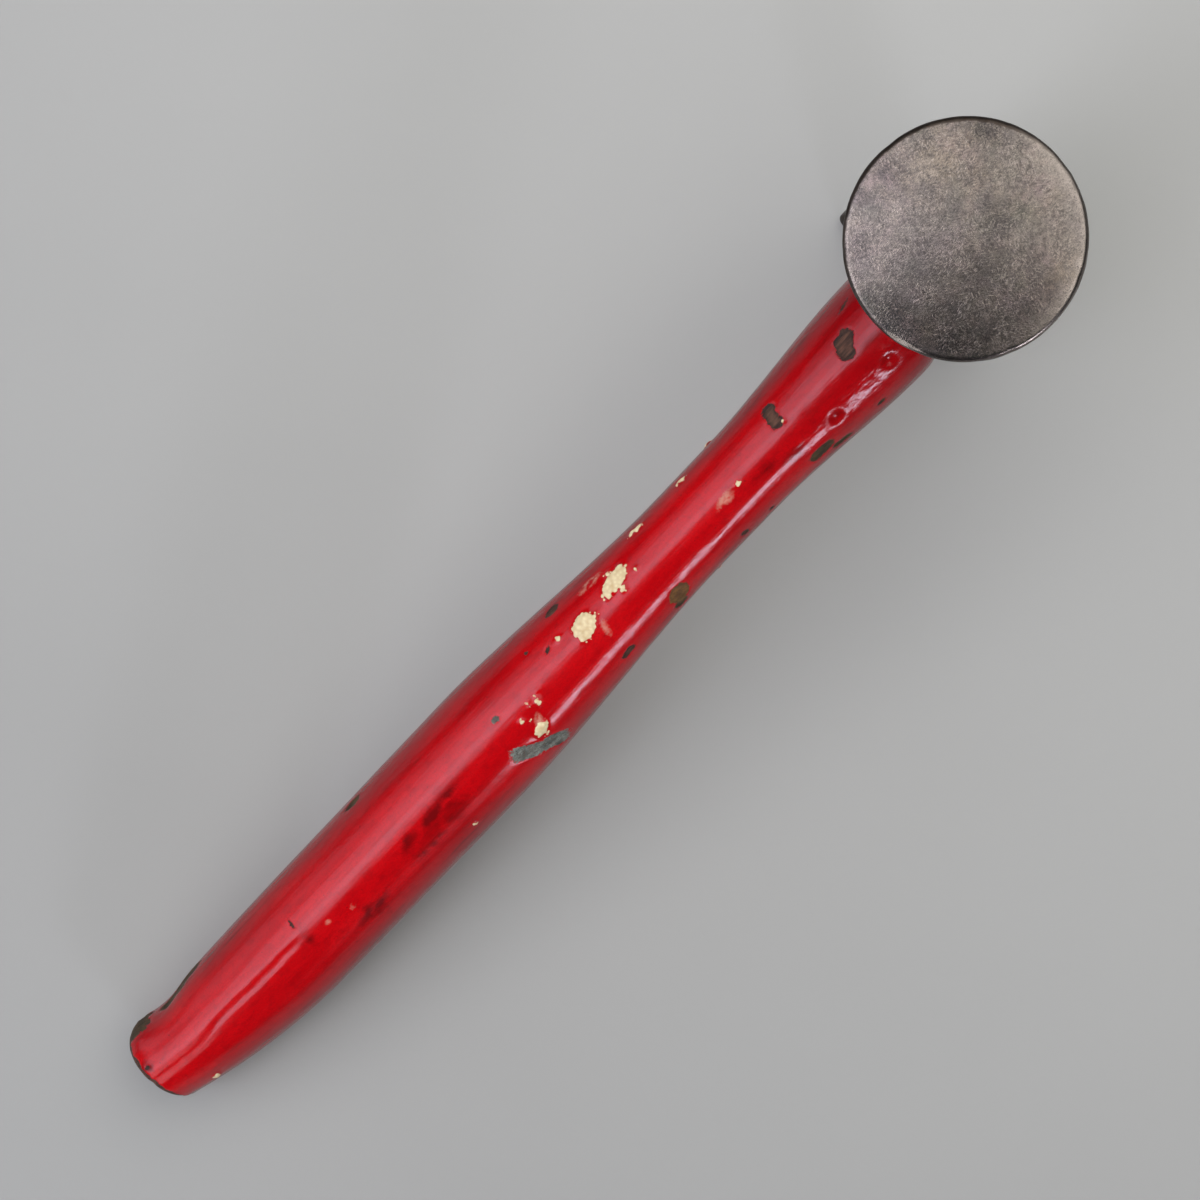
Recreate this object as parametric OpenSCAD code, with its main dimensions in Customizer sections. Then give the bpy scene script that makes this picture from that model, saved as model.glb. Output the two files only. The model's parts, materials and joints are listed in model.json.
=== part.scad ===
// Shoemaker's hammer: a forged steel head with a domed round face and a fan-shaped cross peen,
// on a turned wooden handle that is wedged into the eye.
//
// Tool frame, in which every piece is drawn: origin at the centre of the eye,
// +X along the handle towards its butt, +Z along the head towards the face.
// The finished hammer stands on its peen and its butt: +Z is up, the bench is at Z = 0,
// and the origin lies on the bench under the middle of the hammer.

/* [Face and neck] */
// Diameter of the striking face over its rim
face_d = 40; // [34:0.5:46]
// Height of the dome above the edge of the face
face_crown = 0.8; // [0.3:0.1:2]
// Radius of the worn edge around the face
rim_round = 1; // [0.5:0.1:2]
// Height of the side of the face below its rounded edge
rim_h = 4.5; // [2:0.5:7]
// How far the side of the face leans in towards its lower edge
rim_draft = 0.4; // [0:0.1:1.2]
// Length of the hollow flare between the face and the neck
flare_l = 18; // [12:0.5:21]
// Diameter of the round neck
neck_d = 18.6; // [15:0.2:20]
// Distance from the centre of the eye to the top of the face
face_reach = 50; // [44:0.5:60]

/* [Cheeks and peen] */
// Length of the head around the eye, along the handle
cheek_l = 25; // [21:0.5:30]
// Width of the head over its cheeks
cheek_w = 25; // [22:0.5:30]
// Height of the straight cheeks around the eye
cheek_h = 22; // [18:0.5:28]
// Depth from the centre of the eye to the centre of the peen's rounded edge
peen_reach = 61; // [52:0.5:70]
// How far the edge of the peen curves towards the handle
peen_droop = 18.5; // [6:0.5:24]
// Width of the peen's edge
peen_w = 39; // [28:0.5:44]
// Thickness of the peen's rounded edge
peen_t = 5; // [3:0.2:8]
// Width at the waist of the peen, just below the eye
peen_root_w = 24; // [18:0.5:28]
// Thickness at the waist of the peen, just below the eye
peen_root_t = 15; // [10:0.5:20]

/* [Eye and wedges] */
// Height of the oval eye
eye_h = 21; // [17:0.5:23]
// Width of the oval eye
eye_w = 13.5; // [11:0.5:15]
// How much the eye opens on each side towards its far mouth
eye_flare = 0.6; // [0.2:0.1:1.2]
// Gap left between pieces that are driven together
fit_gap = 0.1; // [0.05:0.01:0.2]
// How far the end of the tenon stands out of the eye
tenon_proud = 1.5; // [0.5:0.1:4]
// Thickness of the wooden wedge at its driven end
wood_wedge_t = 3.2; // [2:0.1:4.5]
// Thickness of the saw cut in the tenon, and of the wooden wedge's tip
saw_kerf = 1; // [0.6:0.1:1.6]
// Length of the wooden wedge
wood_wedge_l = 20; // [16:0.5:22]
// How far the saw cut runs past the wooden wedge's tip
kerf_spare = 3; // [1:0.5:4]
// Thickness of a steel wedge at its driven end
steel_wedge_t = 2.2; // [1.4:0.1:3]
// Thickness of a steel wedge at its tip
steel_tip_t = 0.6; // [0.3:0.1:1]
// Width of a steel wedge
steel_wedge_w = 9; // [6:0.5:10]
// Length of a steel wedge
steel_wedge_l = 14; // [8:0.5:16]
// Distance between the two steel wedges
steel_wedge_pitch = 10; // [7:0.5:12]

/* [Handle] */
// Distance from the centre of the eye to the end of the butt
handle_reach = 235; // [215:1:270]
// How far the handle's axis is set to one side of the eye
handle_set = 1.6; // [0:0.1:3]
// Diameter of the shoulder behind the head
shoulder_d = 22; // [20:0.2:25]
// Distance from the centre of the eye to the shoulder
shoulder_at = 24; // [20:0.5:30]
// Width of the ledge that seats against the mouth of the eye
seat_ledge = 0.9; // [0.4:0.1:1.6]
// Diameter of the slim waist
waist_d = 17.6; // [15:0.2:20]
// Distance from the centre of the eye to the start of the waist
waist_from = 62; // [50:1:70]
// Distance from the centre of the eye to the end of the waist
waist_to = 76; // [72:1:90]
// Diameter of the grip
grip_d = 23.9; // [21:0.2:28]
// Distance from the centre of the eye to the full grip
grip_from = 138; // [120:1:160]
// Distance from the centre of the eye to the end of the full grip
grip_to = 190; // [170:1:200]
// Diameter of the butt where its edge begins to round
butt_d = 17.5; // [14:0.2:21]
// How far the butt lies to the other side of the handle's axis
butt_shift = 2.4; // [0:0.1:4]
// Radius of the rounded edge at the end of the butt
butt_round = 2.6; // [1:0.1:4]

/* [Hidden] */

// Facets around a turned surface, sides of a shaped section, and sections along each stretch
round_fn = 96;
section_sides = 48;
stretch_steps = 9;
edge_steps = 5;
// How squarely a section fills its outline: the neck is an ellipse, cheeks and peen are nearly rectangles
round_power = 2;
cheek_power = 4;
peen_power = 5;
// Share of the peen's length above its waist, and how it thins and fans out below the waist
root_share = 0.3;
thinning_power = 0.8;
fan_power = 1.4;
// Overlap that joins solids inside one piece
overlap = 0.5;
// Half thickness left at the very edge of the peen
edge_land = 0.1;

half_cheek = cheek_l / 2;
tenon_end = -(half_cheek + tenon_proud);
seat_x = half_cheek + fit_gap;
butt_r = butt_d / 2;
edge_r = peen_t / 2;
// The wooden wedge is as wide as the eye leaves room for at the wedge's own thickness
wood_wedge_w = eye_h - eye_w + sqrt(eye_w * eye_w - wood_wedge_t * wood_wedge_t) - 2 * fit_gap;

// Levels of the face, in the tool frame
face_edge_z = face_reach - face_crown;
face_flat_r = face_d / 2 - rim_round;
rim_foot_z = face_edge_z - rim_round - rim_h;
rim_foot_r = face_d / 2 - rim_draft;
neck_z = rim_foot_z - flare_l;
neck_foot_z = eye_h / 2 + overlap;
dome_r = (face_flat_r * face_flat_r + face_crown * face_crown) / (2 * face_crown);

// The flare is one arc that starts upright at the neck and ends at the foot of the rim
flare_turn = 2 * atan((rim_foot_r - neck_d / 2) / flare_l);
flare_r = flare_l / sin(flare_turn);

// The bench touches the round edge of the peen and the round edge of the butt
butt_edge = [handle_reach - butt_round, -(butt_r - butt_round)];
peen_edge = [peen_droop, -peen_reach];
edge_span = butt_edge - peen_edge;
lean = atan2(edge_span.y, edge_span.x) + asin((edge_r - butt_round) / norm(edge_span));
bench_lift = edge_r + peen_edge.x * sin(lean) - peen_edge.y * cos(lean);

// Ends of the standing hammer along the bench: the tenon's lower corner and the butt's upper edge
low_x = tenon_end * cos(lean) - (eye_h - eye_w) / 2 * sin(lean) - (eye_w / 2 + eye_flare) * sin(lean);
high_x = butt_edge.x * cos(lean) - butt_edge.y * sin(lean) + butt_round;
middle_x = (low_x + high_x) / 2;

function mix(a, b, t) = a + (b - a) * t;
function ease(t) = t * t * (3 - 2 * t);
function signed_power(v, p) = sign(v) * pow(abs(v), p);
function arc(centre, r, from, to, steps) =
    [for (i = [0:steps]) let (a = mix(from, to, i / steps)) centre + r * [cos(a), sin(a)]];

// A section across the head: an outline between ellipse and rectangle, turned about Y by tilt
function head_section(x, z, tilt, half_x, half_y, power) =
    [for (i = [0:section_sides - 1])
        let (a = 360 * i / section_sides,
             along = half_x * signed_power(cos(a), 2 / power),
             across = half_y * signed_power(sin(a), 2 / power))
        [x + along * cos(tilt), across, z + along * sin(tilt)]];

// A section across the handle: an ellipse whose centre may lie to one side
function handle_section(x, y, half_y, half_z) =
    [for (i = [0:section_sides - 1])
        let (a = 360 * i / section_sides)
        [x, y + half_y * cos(a), -half_z * sin(a)]];

// A closed solid over a row of sections that all have section_sides points
module skin(sections) {
    n = section_sides;
    last = len(sections) - 1;
    walls = [for (k = [0:last - 1], i = [0:n - 1])
        let (j = (i + 1) % n, a = k * n + i, b = k * n + j, c = b + n, d = a + n)
        each [[a, b, c], [a, c, d]]];
    first_cap = [for (i = [n - 1:-1:0]) i];
    last_cap = [for (i = [0:n - 1]) last * n + i];
    polyhedron(points = [for (s = sections) each s], faces = concat(walls, [first_cap, last_cap]));
}

// A bar with an oval outline of the eye's shape, grown on all sides, from one place on X to another
module oval_bar(from, to, grow) {
    r = eye_w / 2 + grow;
    translate([from, 0, 0]) rotate([0, 90, 0])
        linear_extrude(to - from) {
            for (side = [-1, 1]) translate([side * (eye_h - eye_w) / 2, 0]) circle(r, $fn = round_fn);
            square([eye_h - eye_w, 2 * r], center = true);
        }
}

// The space inside the eye: straight on the handle's side and flared towards the far mouth
module eye_core(grow, near_end, far_end) {
    slice = 0.01;
    oval_bar(-slice, near_end, grow);
    hull() {
        oval_bar(-slice, 0, grow);
        oval_bar(-half_cheek - slice, -half_cheek, grow + eye_flare);
    }
    oval_bar(far_end, -half_cheek, grow + eye_flare);
}

// A wedge with its driven end flush with the tenon, its thickness along Y and its width along Z
module wedge(length, width, end_t, tip_t, grow = 0) {
    end_x = tenon_end - (grow > 0 ? overlap : 0);
    translate([0, 0, -width / 2 - grow])
        linear_extrude(width + 2 * grow)
            polygon([[end_x, -end_t / 2 - grow], [tenon_end + length + grow, -tip_t / 2 - grow],
                     [tenon_end + length + grow, tip_t / 2 + grow], [end_x, end_t / 2 + grow]]);
}

module steel_wedge_space(side, grow = 0) {
    translate([0, 0, side * steel_wedge_pitch / 2])
        rotate([90, 0, 0]) wedge(steel_wedge_l, steel_wedge_w, steel_wedge_t, steel_tip_t, grow);
}

// Turned outline of the face, its flare and the neck
module face_and_neck() {
    dome_turn = asin(face_flat_r / dome_r);
    rotate_extrude($fn = round_fn)
        polygon(concat(
            arc([0, face_reach - dome_r], dome_r, 90, 90 - dome_turn, stretch_steps),
            arc([face_flat_r, face_edge_z - rim_round], rim_round, 90, 0, edge_steps),
            arc([neck_d / 2 + flare_r, neck_z], flare_r, 180 - flare_turn, 180, stretch_steps),
            [[neck_d / 2, neck_foot_z], [0, neck_foot_z]]));
}

// Rounded shoulders, the cheeks around the eye, and the peen that fans out and curves to the handle
module cheeks_and_peen() {
    half_w = cheek_w / 2;
    half_h = cheek_h / 2;
    inner = neck_d / 2 - overlap;
    shoulders = [for (i = [0:stretch_steps])
        let (t = i / stretch_steps, s = sin(90 * t))
        head_section(0, mix(neck_z, half_h, t), 0,
                     mix(inner, half_cheek, s), mix(inner, half_w, s),
                     mix(round_power, cheek_power, s))];
    root_z = -half_h;
    drop = peen_reach + root_z;
    peen = [for (i = [0:2 * stretch_steps])
        let (t = i / (2 * stretch_steps),
             to_root = ease(min(1, t / root_share)),
             past_root = max(0, (t - root_share) / (1 - root_share)),
             half_t = mix(mix(half_cheek, peen_root_t / 2, to_root), edge_r,
                          pow(past_root, thinning_power)),
             half_y = mix(mix(half_w, peen_root_w / 2, to_root), peen_w / 2,
                          pow(past_root, fan_power)))
        head_section(peen_droop * t * t, root_z - drop * t, atan(2 * peen_droop * t / drop),
                     half_t, half_y, mix(cheek_power, peen_power, t))];
    end_tilt = atan(2 * peen_droop / drop);
    edge = [for (i = [1:edge_steps])
        let (a = 90 * i / edge_steps, ahead = edge_r * sin(a))
        head_section(peen_droop + ahead * sin(end_tilt), -peen_reach - ahead * cos(end_tilt), end_tilt,
                     max(edge_land, edge_r * cos(a)), peen_w / 2 - edge_r * (1 - cos(a)), peen_power)];
    skin(concat(shoulders, peen, edge));
}

module hammer_head() {
    color("dimgray")
        difference() {
            union() {
                face_and_neck();
                cheeks_and_peen();
            }
            eye_core(0, cheek_l, -cheek_l);
        }
}

// Turned handle from the seat at the eye to the butt, which leans to one side
module handle_body() {
    seat = [for (i = [0:stretch_steps])
        let (t = i / stretch_steps)
        handle_section(mix(seat_x, shoulder_at, t), handle_set * ease(t),
                       mix(eye_w / 2 + seat_ledge, shoulder_d / 2, sin(90 * t)),
                       mix(eye_h / 2 + seat_ledge, shoulder_d / 2, ease(t)))];
    neck = [for (i = [1:stretch_steps])
        let (t = i / stretch_steps, r = mix(shoulder_d, waist_d, ease(t)) / 2)
        handle_section(mix(shoulder_at, waist_from, t), handle_set, r, r)];
    swell = [for (i = [0:stretch_steps])
        let (t = i / stretch_steps, r = mix(waist_d, grip_d, ease(t)) / 2)
        handle_section(mix(waist_to, grip_from, t), handle_set, r, r)];
    taper = [for (i = [0:stretch_steps])
        let (t = i / stretch_steps, r = mix(grip_d, butt_d, t * t) / 2)
        handle_section(mix(grip_to, handle_reach - butt_round, t), handle_set - butt_shift * t * t, r, r)];
    end = [for (i = [1:edge_steps])
        let (a = 90 * i / edge_steps, r = butt_r - butt_round * (1 - cos(a)))
        handle_section(handle_reach - butt_round * (1 - sin(a)), handle_set - butt_shift, r, r)];
    skin(concat(seat, neck, swell, taper, end));
}

module handle() {
    color("crimson")
        difference() {
            union() {
                handle_body();
                eye_core(-fit_gap, seat_x + overlap, tenon_end);
            }
            wedge(wood_wedge_l, 2 * eye_h, wood_wedge_t, saw_kerf, fit_gap);
            wedge(wood_wedge_l + kerf_spare, 2 * eye_h, saw_kerf, saw_kerf, fit_gap);
            for (side = [-1, 1]) steel_wedge_space(side, fit_gap);
        }
}

module wooden_wedge() {
    color("burlywood")
        difference() {
            wedge(wood_wedge_l, wood_wedge_w, wood_wedge_t, saw_kerf);
            for (side = [-1, 1]) steel_wedge_space(side, fit_gap);
        }
}

module steel_wedge_face_side() {
    color("gray") steel_wedge_space(1);
}

module steel_wedge_peen_side() {
    color("gray") steel_wedge_space(-1);
}

// Leans the tool frame until peen and butt both rest on the bench
module on_bench() {
    translate([-middle_x, 0, bench_lift]) rotate([0, lean, 0]) children();
}

on_bench() hammer_head();
on_bench() handle();
on_bench() wooden_wedge();
on_bench() steel_wedge_face_side();
on_bench() steel_wedge_peen_side();
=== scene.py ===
# %% [markdown]
# # A shoemaker's hammer
# A forged steel head with a broad domed face and a fan-shaped peen sits on a turned wooden handle under
# thick red paint. The CAD model gives every place and size. Blender adds what plain solids lack: softened
# edges, chipped paint, a worn steel skin, and light to see them by.

# %% Load the CAD model as the frame
import json
import math

import bmesh
import bpy
import numpy as np
from mathutils import Matrix, Vector, noise


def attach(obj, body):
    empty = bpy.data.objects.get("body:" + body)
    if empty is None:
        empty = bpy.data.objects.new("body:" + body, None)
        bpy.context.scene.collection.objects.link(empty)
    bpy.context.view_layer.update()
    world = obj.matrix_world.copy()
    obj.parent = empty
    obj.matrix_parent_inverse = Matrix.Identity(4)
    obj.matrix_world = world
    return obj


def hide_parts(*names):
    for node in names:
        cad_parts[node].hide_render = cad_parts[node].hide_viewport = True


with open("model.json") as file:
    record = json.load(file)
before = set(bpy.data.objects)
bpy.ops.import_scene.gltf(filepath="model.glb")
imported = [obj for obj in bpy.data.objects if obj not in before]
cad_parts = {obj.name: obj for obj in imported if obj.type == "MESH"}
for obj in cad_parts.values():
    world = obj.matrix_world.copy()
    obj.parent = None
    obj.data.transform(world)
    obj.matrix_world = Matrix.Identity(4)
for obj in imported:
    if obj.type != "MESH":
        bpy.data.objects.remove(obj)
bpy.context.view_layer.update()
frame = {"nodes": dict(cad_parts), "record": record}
bpy.ops.object.select_all(action="DESELECT")
print("CAD nodes:", ", ".join(sorted(frame["nodes"])))

# %% [markdown]
# ## The tool frame
# The hammer stands on its peen and its butt, so everything on it leans. It is easier to draw in the
# tool's own frame: millimetres from the centre of the eye, X along the handle, Z along the head towards
# the face. The CAD record names the end of the butt and the handle's direction, and these two give the
# way from one frame to the other.

# %% From the tool frame to the place where the hammer stands
MM = 0.001
handle_reach = 235
butt_side = -0.8
mounts = {mount["name"]: mount for mount in frame["record"]["mounts"]}
handle_way = Vector(mounts["butt_end"]["axis"])
lean = math.atan2(-handle_way.z, handle_way.x)
turn = Matrix.Rotation(lean, 4, "Y")
eye_place = Vector(mounts["butt_end"]["pos_m"]) - turn @ Vector((handle_reach, butt_side, 0)) * MM
stand = Matrix.Translation(eye_place) @ turn @ Matrix.Scale(MM, 4)
print(f"The handle leans {math.degrees(lean):.2f} degrees, and the eye is {eye_place.z / MM:.1f} mm up")

# %% [markdown]
# ## Drawing with rings
# Head and handle are both long forms whose section changes smoothly. They could be turned with Spin, but
# the cheeks and the peen aren't round. So each starts as a circle that is extruded again and again, and
# after each extrusion the points of the new ring are put in place. A number on each point tells which
# spoke it belongs to, and extruding copies it. One more extrusion at each end, merged to a point, closes
# the piece.

# %% Extrude one ring after another
def place_selected(piece, ring):
    """Moves each selected point to its place in the ring."""
    mesh = bmesh.from_edit_mesh(piece.data)
    spoke = mesh.verts.layers.int["spoke"]
    for vert in mesh.verts:
        if vert.select:
            vert.co = ring[vert[spoke]]
    bmesh.update_edit_mesh(piece.data)


def close_selected():
    """Closes the selected ring with a fan of triangles."""
    bpy.ops.mesh.extrude_region()
    bpy.ops.mesh.merge(type="CENTER")


def draw_rings(name, rings):
    """A closed piece through rings that all have the same number of points."""
    bpy.ops.object.select_all(action="DESELECT")
    bpy.ops.mesh.primitive_circle_add(vertices=len(rings[0]))
    piece = bpy.context.object
    piece.name = name
    bpy.ops.object.mode_set(mode="EDIT")
    mesh = bmesh.from_edit_mesh(piece.data)
    spoke = mesh.verts.layers.int.new("spoke")
    for number, vert in enumerate(mesh.verts):
        vert[spoke] = number
    place_selected(piece, rings[0])
    for ring in rings[1:]:
        bpy.ops.mesh.extrude_region()
        place_selected(piece, ring)
    close_selected()
    bpy.ops.mesh.select_all(action="DESELECT")
    bpy.ops.mesh.select_non_manifold()
    close_selected()
    bpy.ops.mesh.select_all(action="SELECT")
    bpy.ops.mesh.normals_make_consistent(inside=False)
    bpy.ops.object.mode_set(mode="OBJECT")
    piece.data.attributes.remove(piece.data.attributes["spoke"])
    return piece


def apply_modifier(piece, kind, **settings):
    """Adds a modifier to the piece and applies it."""
    bpy.context.view_layer.objects.active = piece
    bpy.ops.object.modifier_add(type=kind)
    modifier = piece.modifiers[-1]
    for name, value in settings.items():
        setattr(modifier, name, value)
    bpy.ops.object.modifier_apply(modifier=modifier.name)


def cut_away(piece, cutter):
    """Cuts the cutter's shape out of the piece and deletes the cutter."""
    apply_modifier(piece, "BOOLEAN", operation="DIFFERENCE", solver="EXACT", object=cutter)
    bpy.data.objects.remove(cutter)


def mix(start, end, share):
    return start + (end - start) * share


def ease(share):
    """From 0 to 1 with a soft start and a soft end."""
    return share * share * (3 - 2 * share)


# %% [markdown]
# ## The handle's shape
# The real handle was turned on a lathe: a shoulder behind the head, a slim waist, a full grip and a butt
# that tapers and leans to one side. In front of the shoulder a flat-sided tenon goes through the eye.
# Rings across X follow the same outline as the CAD solid. Rings that lie close together keep the ledge
# and the ends crisp when a Subdivision Surface smooths the rest.

# %% Sizes of the handle, in millimetres from the centre of the eye
seat_x = 12.6
shoulder_at, shoulder_d = 24, 22
waist_from, waist_to, waist_d = 62, 76, 17.6
grip_from, grip_to, grip_d = 138, 190, 23.9
butt_d, butt_round = 17.5, 2.6
handle_set = 1.6
butt_shift = handle_set - butt_side
eye_h, eye_w, eye_flare = 21, 13.5, 0.6
seat_ledge, fit_gap = 0.9, 0.1
far_mouth, tenon_end = -12.5, -14
handle_spokes = 48
print(f"The handle reaches {handle_reach} mm from the eye, and its grip is {grip_d} mm thick")


def handle_section(x):
    """Middle along Y, half width along Y and half height along Z of the handle at x."""
    if x < shoulder_at:
        share = (x - seat_x) / (shoulder_at - seat_x)
        half_y = mix(eye_w / 2 + seat_ledge, shoulder_d / 2, math.sin(share * math.pi / 2))
        half_z = mix(eye_h / 2 + seat_ledge, shoulder_d / 2, ease(share))
        return handle_set * ease(share), half_y, half_z
    if x < waist_to:
        share = min(1, (x - shoulder_at) / (waist_from - shoulder_at))
        r = mix(shoulder_d, waist_d, ease(share)) / 2
        return handle_set, r, r
    if x < grip_to:
        share = min(1, (x - waist_to) / (grip_from - waist_to))
        r = mix(waist_d, grip_d, ease(share)) / 2
        return handle_set, r, r
    edge_x = handle_reach - butt_round
    share = min(1, (x - grip_to) / (edge_x - grip_to))
    past_edge = max(0, x - edge_x)
    r = mix(grip_d, butt_d, share**2) / 2 - butt_round + math.sqrt(butt_round**2 - past_edge**2)
    return handle_set - butt_shift * share**2, r, r


# %% Rings of the handle
around_handle = [2 * math.pi * number / handle_spokes for number in range(handle_spokes)]


def oval_ring(x, grow, share=1):
    """A ring of the eye's oval outline, grown on all sides and then drawn in towards its middle."""
    r = eye_w / 2 + grow
    straight = (eye_h - eye_w) / 2
    ring = []
    for a in around_handle:
        z = r * math.cos(a) + straight * np.sign(round(math.cos(a), 6))
        ring.append(Vector((x, share * r * math.sin(a), share * z)))
    return ring


def turned_ring(x, share=1):
    """A ring of the handle at x, drawn in towards its middle."""
    middle, half_y, half_z = handle_section(x)
    return [
        Vector((x, middle + share * half_y * math.sin(a), share * half_z * math.cos(a)))
        for a in around_handle
    ]


tenon = [
    (tenon_end, eye_flare, 0.5), (tenon_end, eye_flare, 0.93), (tenon_end + 0.1, eye_flare, 0.985),
    (tenon_end + 0.4, eye_flare, 1), (far_mouth, eye_flare, 1), (-8, 0.64 * eye_flare, 1),
    (0, 0, 1), (8, 0, 1), (seat_x - 0.3, 0, 1),
]
handle_rings = [oval_ring(x, grow - fit_gap, share) for x, grow, share in tenon]
handle_rings += [oval_ring(seat_x, mix(-fit_gap, seat_ledge, share)) for share in (0, 0.5)]
body = np.concatenate([
    [seat_x, seat_x + 0.25],
    np.linspace(seat_x + 1.2, shoulder_at, 6, endpoint=False),
    np.linspace(shoulder_at, handle_reach - butt_round, 94),
    handle_reach - butt_round + butt_round * np.sin(np.radians([20, 40, 60, 75, 90])),
])
handle_rings += [turned_ring(x) for x in body]
handle_rings += [turned_ring(handle_reach, share) for share in (0.85, 0.5)]
handle = draw_rings("painted_handle", handle_rings)
apply_modifier(handle, "SUBSURF", levels=2, render_levels=2)
print("The handle has", len(handle.data.polygons), "faces from", len(handle_rings), "rings")

# %% [markdown]
# ## The saw cut and the wedge pockets
# The tenon is sawn, and a wooden wedge and two steel wedges driven into it spread it in the eye. The
# wedges are CAD nodes that stay. The tenon needs room for them, or two surfaces would share one plane. A
# Boolean with wedge-shaped cutters, a little larger than the wedges, gives that room.

# %% Cut the pockets
wood_wedge_t, wood_wedge_tip, wood_wedge_l = 3.2, 1, 20
steel_wedge_t, steel_wedge_tip, steel_wedge_w, steel_wedge_l = 2.2, 0.6, 9, 14
steel_wedge_pitch = 10
start_out = 1


def wedge_cutter(length, end_t, tip_t, width, z, along_z):
    """A four-sided wedge that starts outside the tenon's end, with its width along Z or along Y."""
    rings = []
    for x, thick in ((tenon_end - start_out, end_t), (tenon_end + length, tip_t)):
        half_t, half_w = thick / 2 + fit_gap, width / 2 + fit_gap
        half_y, half_z = (half_t, half_w) if along_z else (half_w, half_t)
        corners = ((1, 1), (-1, 1), (-1, -1), (1, -1))
        rings.append([Vector((x, side * half_y, z + end * half_z)) for side, end in corners])
    return draw_rings("wedge_cutter", rings)


cut_away(handle, wedge_cutter(wood_wedge_l, wood_wedge_t, wood_wedge_tip, 2 * eye_h, 0, True))
for side in (-1, 1):
    z = side * steel_wedge_pitch / 2
    cut_away(handle, wedge_cutter(steel_wedge_l, steel_wedge_t, steel_wedge_tip, steel_wedge_w, z, False))
print("The handle has", len(handle.data.polygons), "faces with its pockets")

# %% [markdown]
# ## Wear on the handle
# Thick paint chips: a chip is a shallow pit with a sharp edge, down to dark wood or to an older coat.
# Drops of cream paint stand proud of the red. A chip could be cut with a Boolean, but a hundred of them
# would be slow, and no two edges are alike. Instead each mark is an oval at a place along and around the
# handle, its edge bent by noise. How far a point lies inside a mark, in millimetres, is kept in an
# attribute: the mesh is pressed in or raised by it, and the paint's material later reads the same number,
# so shape and colour always agree.

# %% Where each point of the handle lies
def at_points(piece, what):
    """An array of what the piece's points have: co for their places, or normal."""
    values = np.empty(len(piece.data.vertices) * 3)
    piece.data.vertices.foreach_get(what, values)
    return values.reshape(-1, 3)


def noise_at(places, size, seed):
    """Smooth noise from -1 to 1, with lumps of the given size, at each place."""
    shift = Vector((seed * 17.3, seed * -9.1, seed * 5.7))
    return np.array([noise.noise(Vector(place) / size + shift) for place in places])


places = at_points(handle, "co")
sections = np.array([handle_section(max(seat_x, min(handle_reach, x))) for x in places[:, 0]])
along = places[:, 0]
round_top = np.degrees(np.arctan2(places[:, 1] - sections[:, 0], places[:, 2]))
radius = sections[:, 2]
print(f"{len(places)} points, radius {radius.min():.1f} to {radius.max():.1f} mm")

# %% Ovals with a bent edge
bend_along = noise_at(places, 2.2, 1) + 0.6 * noise_at(places, 0.9, 2)
bend_around = noise_at(places, 2.2, 3) + 0.6 * noise_at(places, 0.9, 4)


def around_from(angle):
    """Distance around the handle from an angle, in mm."""
    return radius * np.radians((round_top - angle + 180) % 360 - 180)


def inside(ragged, x, angle, half_long, half_wide, turn_by=0, power=2):
    """How far, in mm, each point lies inside an oval mark. A higher power makes the oval squarer."""
    ragged_mm = ragged * min(half_long, half_wide)
    u = along - x + ragged_mm * bend_along
    v = around_from(angle) + ragged_mm * bend_around
    cosine, sine = math.cos(math.radians(turn_by)), math.sin(math.radians(turn_by))
    p = np.abs(u * cosine + v * sine) / half_long
    q = np.abs(v * cosine - u * sine) / half_wide
    return (1 - (p**power + q**power) ** (1 / power)) * min(half_long, half_wide)


def inside_any(marks, ragged):
    return np.max([inside(ragged, *mark) for mark in marks], axis=0)


# %% Chips, drops, stains and painted dent shade, each as: x, angle from the top, half length, half width, and maybe turn, power
wood_chips = [
    (29.8, -19, 2.6, 1.9, 35, 3), (30.6, -11, 1.3, 1.5), (48.9, -24, 1.4, 2.5, -8, 4),
    (105.5, -58, 1.6, 0.9, 10), (110.4, -23, 0.8, 0.5, 30), (100.6, 47, 1.7, 0.8, 8, 3),
    (114.2, -38, 0.5, 0.4), (69, 60, 0.9, 0.7), (62.2, 66, 0.6, 0.5),
    (25.5, -49, 1.6, 0.35, 20), (186.4, -17, 0.4, 1.1, -6), (231.9, -14, 0.6, 0.45, 20),
]
worn_ends = [(handle_reach - 0.4, 0, 1.6, 90, 0, 8), (seat_x, 0, 1.2, 90, 0, 8)]
olive_chips = [
    (47.6, 50, 2.9, 1.2, 6, 3), (43.7, 62, 2.3, 0.8, -6), (33.5, 57, 1, 0.6),
    (162, -68, 2.2, 1), (87, 62, 1.6, 1.2), (217, -76, 7, 1.9, 4),
    (230.8, -76, 4, 3.8),
]
ochre_chips = [(85.5, 47, 2.3, 1.7, 25, 3)]
slate_chips = [(125.5, 43, 6.3, 1.65, -36, 8), (127.1, -11, 0.9, 0.7)]
cream_drops = [
    (92.2, -25, 4, 1.8, 14), (90.8, -27, 1.7, 1.3), (102.1, -13, 2.6, 2.2, 35),
    (122.3, 27, 1.7, 1.1, 20), (118.6, 6, 1.2, 0.5, 60), (107.6, -23, 0.8, 0.5),
    (82.9, -58, 1.8, 0.5), (70.2, -62, 1.3, 0.5), (62.2, 1, 0.5, 0.45),
    (224.4, 58, 0.8, 0.8), (146.1, 48, 0.5, 0.4), (48.3, -10.5, 0.45, 0.4),
]
thin_drops = [
    (66, 2, 1.9, 0.8, 10), (96.3, -47, 2.2, 0.6), (99.3, 5, 1.2, 0.5, 70),
    (174.7, 14, 0.4, 0.3), (180.5, 6, 0.4, 0.3), (121.5, 20, 1.2, 0.7, 40),
]
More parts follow.
